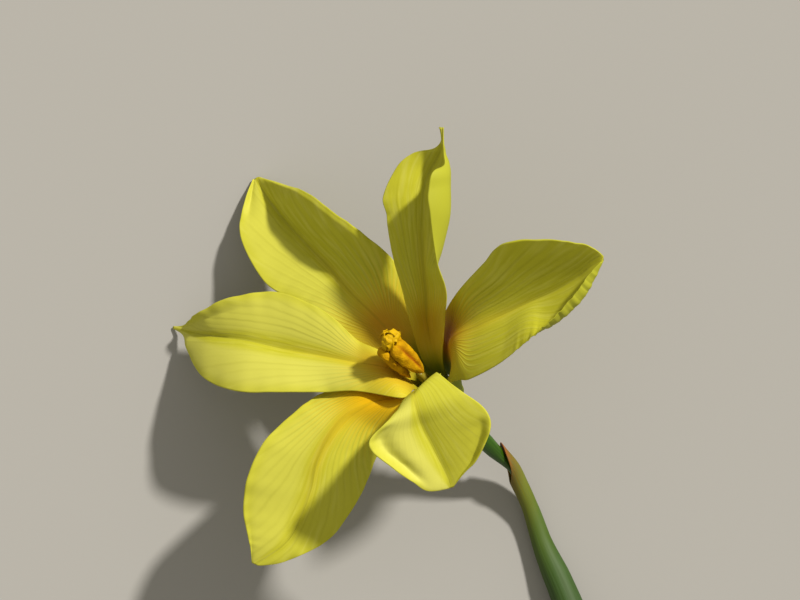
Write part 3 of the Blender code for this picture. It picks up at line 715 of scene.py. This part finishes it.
# The ovary and its pedicel: a plump three-sided green capsule that narrows into a thin stalk,
# smooth and glossy, with faint paler lines along it.
STALK = (
    (0.0, 0.0, 0.0), (2.0, -2.3, -2.6), (4.2, -4.9, -5.1), (6.2, -7.0, -7.1),
    (8.3, -9.3, -9.0), (9.2, -11.1, -9.9), (10.4, -13.7, -10.8), (12.5, -19.7, -11.35),
    (14.4, -24.0, -10.95), (17.0, -30.5, -10.3), (19.6, -37.5, -9.9), (22.2, -45.5, -9.9),
    (24.6, -54.0, -10.4), (26.6, -63.0, -11.35), (28.0, -72.0, -11.35), (28.8, -79.5, -11.35),
)
OVARY_RADII = (
    (0.4, 1.7), (1.5, 1.25), (5, 1.15), (9, 1.12), (11, 1.0), (13, 0.72), (15, 0.48), (24, 0.45),
)
OVARY_RINGS = 130
OVARY_SIDES = 48
OVARY_FIBRES = 6.0
GREEN_GLOSS = 0.35


def stalk_frames(marks):
    """Centres of the stalk at these distances from the flower's base, and two directions across
    it there: one level, square to the path, and one square to both."""
    line = np.array(STALK)
    centres = through(lengths_along(line), line, marks)
    ahead = unit(np.gradient(centres, axis=0))
    level = unit(np.cross(ahead, np.array([0.0, 0.0, 1.0])))
    return centres, level, np.cross(ahead, level)


def waxy_green(name, colours, streak_colour, streak_share, roughness):
    """Plant skin with a waxy cuticle: a smooth satin green whose colour runs through colours as
    the point's value tint goes 0 to 1, with streaks that follow the fibres, which are as wide as
    a step of the point's value fibre."""
    skin, tree, shader = new_surface(name, roughness, GREEN_GLOSS)
    fibre, run = attribute(tree, "fibre"), attribute(tree, "run")
    spot = add_node(tree, "ShaderNodeCombineXYZ", X=fibre, Y=run).outputs[0]
    noise = add_node(tree, "ShaderNodeTexNoise", Vector=spot, Scale=1.0, Detail=4.0, Roughness=0.6)
    streaks = noise.outputs["Fac"]
    ramp = add_node(tree, "ShaderNodeValToRGB", Fac=attribute(tree, "tint"))
    stops = ramp.color_ramp.elements
    for k, (at, code) in enumerate(colours):
        stop = stops[k] if k < 2 else stops.new(at)
        stop.position = at
        stop.color = linear(code)
    amount = remap(tree, streaks, 0.42, 0.7, 0.0, streak_share)
    colour = mix(tree, amount, ramp.outputs[0], linear(streak_colour))
    tree.links.new(colour, shader.inputs["Base Color"])
    ribbed = add_node(tree, "ShaderNodeBump", Height=streaks, Strength=0.3, Distance=0.0001)
    tree.links.new(ribbed.outputs[0], shader.inputs["Normal"])
    return skin


def with_ends(value):
    """The values of all rings, and after them those of the two end centres, read from a ring."""
    return np.concatenate([value.ravel(), value[:1, 0], value[-1:, 0]])


def skin_values(marks, sides, total, fibres):
    """Values for waxy skin on a tube: tint is the share of its length, fibre turns round it with
    a step for each fibre, and run creeps along it."""
    turn = turns_round(sides)
    along = np.repeat(marks[:, None], sides, 1)
    fibre = fibres * np.cos(turn) + 0.5 * fibres * np.sin(turn) + 0 * along
    return {
        "tint": with_ends(along / total),
        "fibre": with_ends(fibre),
        "run": with_ends(along * RUN_PER_MM),
    }


ovary_skin = waxy_green(
    "glossy_ovary", ((0.0, "2E4C0A"), (0.35, "274A04"), (0.6, "224006"), (1.0, "28440A")),
    "446A12", 0.5, 0.32,
)
knots, widths = np.array(OVARY_RADII).T
marks = np.linspace(knots[0], knots[-1], OVARY_RINGS)
centres, level, upright = stalk_frames(marks)
three_sided = 0.05 * np.cos(3 * turns_round(OVARY_SIDES) + 0.6)
shape = 1 + three_sided[None] * (1 - step(10, 13, marks))[:, None]
radii = np.interp(marks, knots, widths)
points, faces = lathe(centres, level[:, None], upright[:, None], radii, shape)
values = skin_values(marks, OVARY_SIDES, knots[-1], OVARY_FIBRES)
make_piece("glossy_ovary_and_pedicel", points, faces, ovary_skin, "ovary_and_pedicel", "ovary", **values)


# The two bracts: leaves rolled into sheaths round the stalk. They are ribbed along their length,
# green with a bloom of wax, and the inner one is dry and brown at its pointed mouth.
# For each: where it starts and ends along the stalk, how far its mouth slants, the side of its tip
# in degrees, outer radii from mouth to end, radii of the bore, bore depth and number of ribs
INNER_SPATHE = (
    10.8, 65.4, 6.0, 180.0,
    (1.45, 1.15, 1.1, 1.35, 1.8, 2.0, 2.0, 1.9, 1.75, 1.6, 1.4, 1.2),
    (1.3, 0.8, 0.8, 0.8), 14.2, 26,
)
OUTER_SPATHE = (
    36.0, 66.2, 9.0, 20.0,
    (2.75, 2.75, 2.7, 2.55, 2.3, 2.0, 1.6),
    (2.3, 2.3, 2.3, 2.15, 1.95, 1.6), 29.7, 30,
)
SHEATH_SIDES = 72
BORE_RINGS = 24
OUTER_RINGS = 170
PATH_PLACES = 400
RIM = 0.12
LIP_THICKNESS = 0.14


def sheath(start, end, slant, tip_side, outer, bores, depth, ribs):
    """Points, faces and skin values of a sheath. Rings run up the bore from its floor to the
    mouth and back down the outside, and each slants back from the tip by slant / 2 * (1 - cos)
    of the turn from the tip's side. The outside is ribbed by a small cosine, and the bore widens
    to a thin lip over its last 3 mm."""
    turn = turns_round(SHEATH_SIDES)
    back = slant * (1 - np.cos(turn - math.radians(tip_side)))[None] / 2
    marks = np.linspace(start, end, PATH_PLACES)
    centres, level, upright = stalk_frames(marks)
    outer_at = start + (end - start) * np.linspace(0, 1, len(outer))
    bore_at = start + depth * np.linspace(0, 1, len(bores))

    def read(table, places):
        return np.stack([np.interp(places, marks, table[:, k]) for k in range(3)], -1)

    def rings(places, radius):
        cosine, sine = np.cos(turn)[None, :, None], np.sin(turn)[None, :, None]
        spoke = cosine * read(level, places) + sine * read(upright, places)
        return read(centres, places) + radius[..., None] * spoke

    inside = start + back + RIM + (depth - back - RIM) * np.linspace(1, 0, BORE_RINGS)[:, None]
    fall = np.linspace(0, 1, OUTER_RINGS)[:, None]
    outside = start + back * (1 - fall) + (end - start) * fall
    bore_radius = np.interp(inside, bore_at, bores)
    lip = 1 - step(0.0, 3.0, inside - start - back)
    bore_radius += lip * (np.interp(inside, outer_at, outer) - LIP_THICKNESS - bore_radius)
    outer_radius = np.interp(outside, outer_at, outer) * (1 + 0.008 * np.cos(ribs * turn)[None])
    skin = np.concatenate([rings(inside, bore_radius), rings(outside, outer_radius)])
    index = np.arange(len(skin) * SHEATH_SIDES).reshape(-1, SHEATH_SIDES)
    after = np.roll(index, -1, axis=1)
    quads = np.stack([index[:-1], after[:-1], after[1:], index[1:]], -1).reshape(-1, 4)
    floor = np.stack([after[0], index[0], np.full(SHEATH_SIDES, index.size)], -1)
    foot = np.stack([index[-1], after[-1], np.full(SHEATH_SIDES, index.size + 1)], -1)
    points = np.concatenate([skin.reshape(-1, 3), skin[0].mean(0)[None], skin[-1].mean(0)[None]])
    along = np.concatenate([inside, outside])
    values = {
        "tint": with_ends(np.clip((along - start - back * 0.75) / (end - start), 0, 1)),
        "fibre": with_ends(7 * np.cos(turn)[None] + 4 * np.sin(turn)[None] + 0 * along),
        "run": with_ends(along * 0.1),
    }
    return points, quads.tolist() + floor.tolist() + foot.tolist(), values


inner_skin = waxy_green(
    "waxy_bract",
    (
        (0.0, "8A4A16"), (0.03, "6A5610"), (0.10, "62660A"), (0.20, "425606"),
        (0.32, "2E480C"), (0.50, "243E10"), (1.0, "2A4012"),
    ),
    "46603A", 0.4, 0.62,
)
points, faces, values = sheath(*INNER_SPATHE)
make_piece("waxy_inner_spathe", points, faces, inner_skin, "inner_spathe", "bract", **values)
outer_skin = waxy_green(
    "waxy_outer_bract", ((0.0, "6A5620"), (0.04, "46501A"), (0.15, "2E4818"), (1.0, "2C4216")),
    "4E6842", 0.4, 0.6,
)
points, faces, values = sheath(*OUTER_SPATHE)
make_piece("waxy_outer_spathe", points, faces, outer_skin, "outer_spathe", "bract", **values)


# The stem: a round green stalk, picked by a straight cut that shows its paler wet pith.
STEM_START = 66.5
STEM_END = 88.5
STEM_RADIUS = 1.4
STEM_RINGS = 90
STEM_SIDES = 56
STEM_FIBRES = 7.0
# The cut's rounded rim: distances along the stalk and radii of the last two rings
CUT_RIM = ((88.49, 1.38), (STEM_END, 1.30))

stem_skin = waxy_green(
    "waxy_stem", ((0.0, "344C1A"), (0.5, "304818"), (0.985, "344C1C"), (1.0, "8CA050")),
    "4A6638", 0.4, 0.55,
)
rim_marks, rim_radii = np.array(CUT_RIM).T
marks = np.concatenate([np.linspace(STEM_START, 88.46, STEM_RINGS), rim_marks])
radii = np.concatenate([np.full(STEM_RINGS, STEM_RADIUS), rim_radii])
centres, level, upright = stalk_frames(marks)
shape = np.tile(1 + 0.01 * np.cos(18 * turns_round(STEM_SIDES)), (len(marks), 1))
points, faces = lathe(centres, level[:, None], upright[:, None], radii, shape)
values = skin_values(marks - STEM_START, STEM_SIDES, STEM_END - STEM_START, STEM_FIBRES)
make_piece("waxy_stem", points, faces, stem_skin, "stem", "bract", **values)
